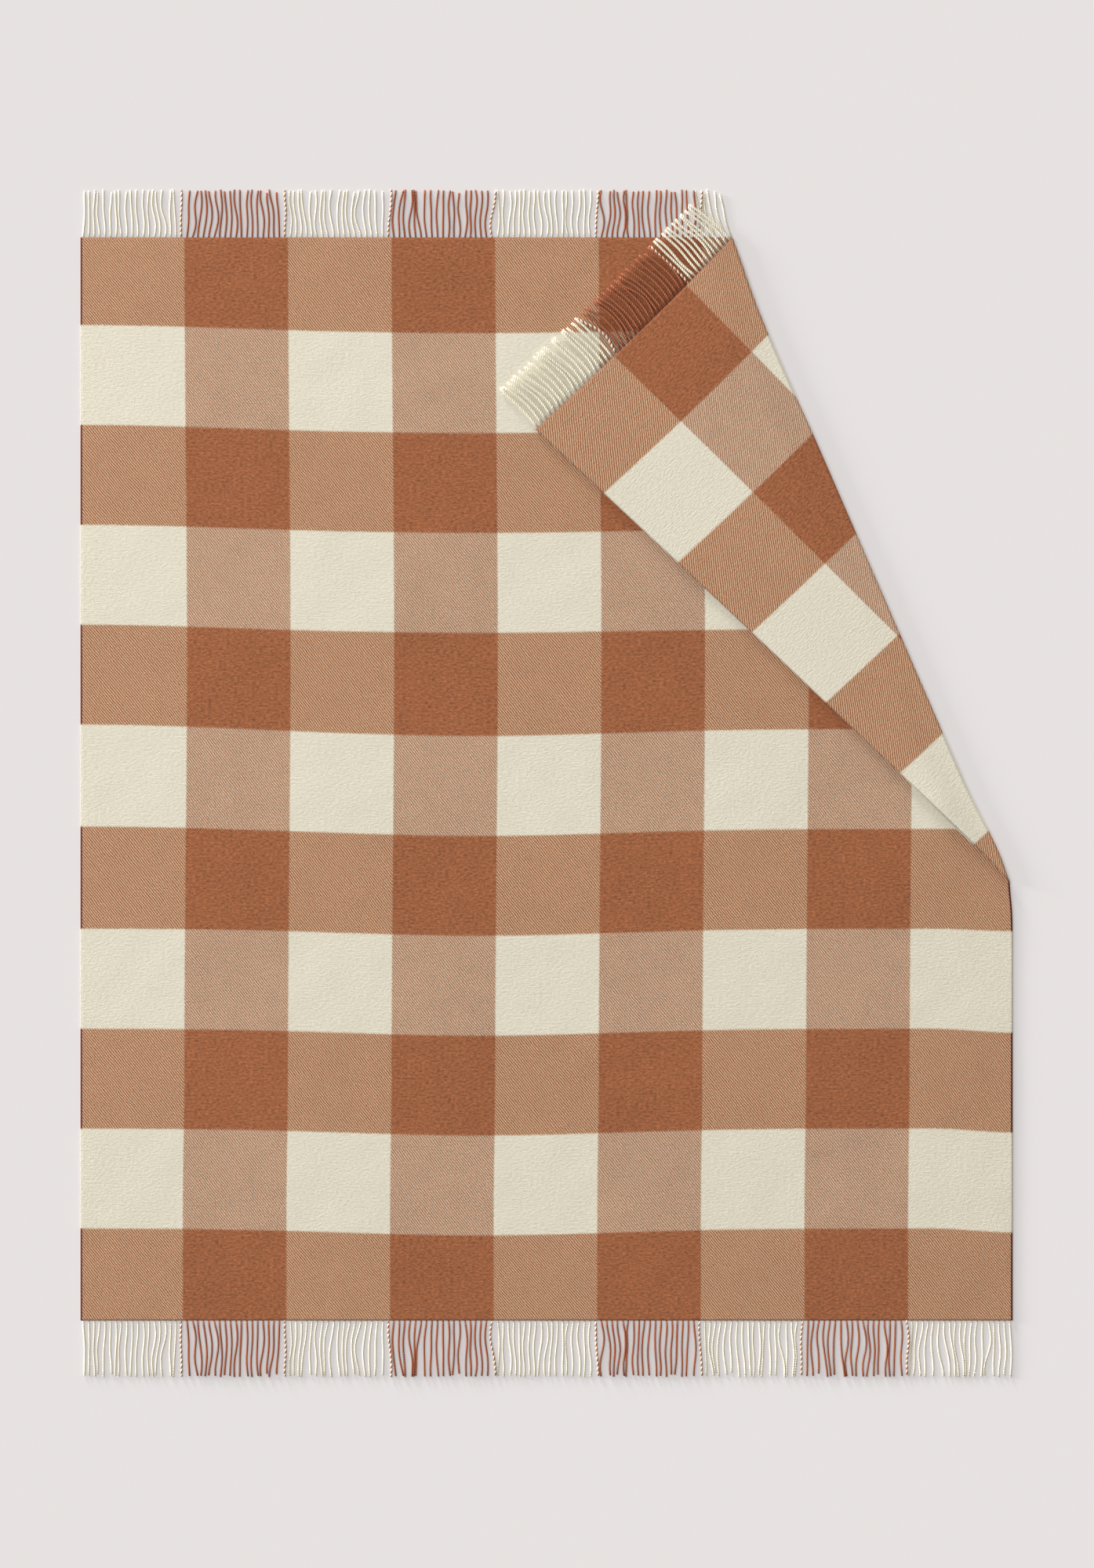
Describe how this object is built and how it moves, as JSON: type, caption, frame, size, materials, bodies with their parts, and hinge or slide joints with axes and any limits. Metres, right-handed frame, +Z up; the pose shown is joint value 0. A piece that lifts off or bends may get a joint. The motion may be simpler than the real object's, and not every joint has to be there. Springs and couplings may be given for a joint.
{
  "type": "fringed check throw blanket",
  "caption": "Brushed wool throw in a block check, laid flat with one head corner turned over, and a twisted cord fringe along both short ends.",
  "frame": {"origin": "middle of the throw's plan, fringe included, on the surface that it lies on", "axes": "+Y along the warp towards the head end, where the corner is turned over; +X across to the selvedge of that corner; +Z up"},
  "size_m": [1.4, 1.786, 0.0063],
  "materials": {
    "cream_wool": "brushed wool, cream, soft raised nap",
    "rust_wool": "brushed wool, rust brown, soft raised nap"
  },
  "bodies": {
    "panel": {"warp_stripe_1_cream": "cream_wool", "warp_stripe_2_rust": "rust_wool", "warp_stripe_3_cream": "cream_wool", "warp_stripe_4_rust": "rust_wool", "warp_stripe_5_cream": "cream_wool", "warp_stripe_6_rust": "rust_wool", "warp_stripe_7_cream": "cream_wool", "warp_stripe_8_rust": "rust_wool", "warp_stripe_9_cream": "cream_wool", "weft_band_10_cream": "cream_wool", "weft_band_11_rust": "rust_wool", "weft_band_1_rust": "rust_wool", "weft_band_2_cream": "cream_wool", "weft_band_3_rust": "rust_wool", "weft_band_4_cream": "cream_wool", "weft_band_5_rust": "rust_wool", "weft_band_6_cream": "cream_wool", "weft_band_7_rust": "rust_wool", "weft_band_8_cream": "cream_wool", "weft_band_9_rust": "rust_wool", "head_fringe_6_rust": "rust_wool", "head_fringe_7_cream": "cream_wool"},
    "corner": {"corner_fringe_7_cream": "cream_wool", "corner_fringe_8_rust": "rust_wool", "corner_fringe_9_cream": "cream_wool", "corner_warp_stripe_7_cream": "cream_wool", "corner_warp_stripe_8_rust": "rust_wool", "corner_warp_stripe_9_cream": "cream_wool", "corner_weft_band_1_rust": "rust_wool", "corner_weft_band_2_cream": "cream_wool", "corner_weft_band_3_rust": "rust_wool", "corner_weft_band_4_cream": "cream_wool", "corner_weft_band_5_rust": "rust_wool", "corner_weft_band_6_cream": "cream_wool", "corner_weft_band_7_rust": "rust_wool"},
    "head_fringe": {"head_fringe_1_cream": "cream_wool", "head_fringe_2_rust": "rust_wool", "head_fringe_3_cream": "cream_wool", "head_fringe_4_rust": "rust_wool", "head_fringe_5_cream": "cream_wool"},
    "foot_fringe": {"foot_fringe_1_cream": "cream_wool", "foot_fringe_2_rust": "rust_wool", "foot_fringe_3_cream": "cream_wool", "foot_fringe_4_rust": "rust_wool", "foot_fringe_5_cream": "cream_wool", "foot_fringe_6_rust": "rust_wool", "foot_fringe_7_cream": "cream_wool", "foot_fringe_8_rust": "rust_wool", "foot_fringe_9_cream": "cream_wool"}
  },
  "joints": [
    {"name": "corner_fold", "type": "hinge", "parent": "panel", "child": "corner", "pos_m": [0.7, -0.148, 0.00315], "axis": [-0.398, 0.9174, 0], "range_deg": [0, 180]},
    {"name": "head_fringe_turn", "type": "hinge", "parent": "panel", "child": "head_fringe", "pos_m": [0, 0.82, 0.003], "axis": [1, 0, 0], "range_deg": [0, 180]},
    {"name": "foot_fringe_turn", "type": "hinge", "parent": "panel", "child": "foot_fringe", "pos_m": [0, -0.807, 0.003], "axis": [-1, 0, 0], "range_deg": [0, 180]}
  ]
}
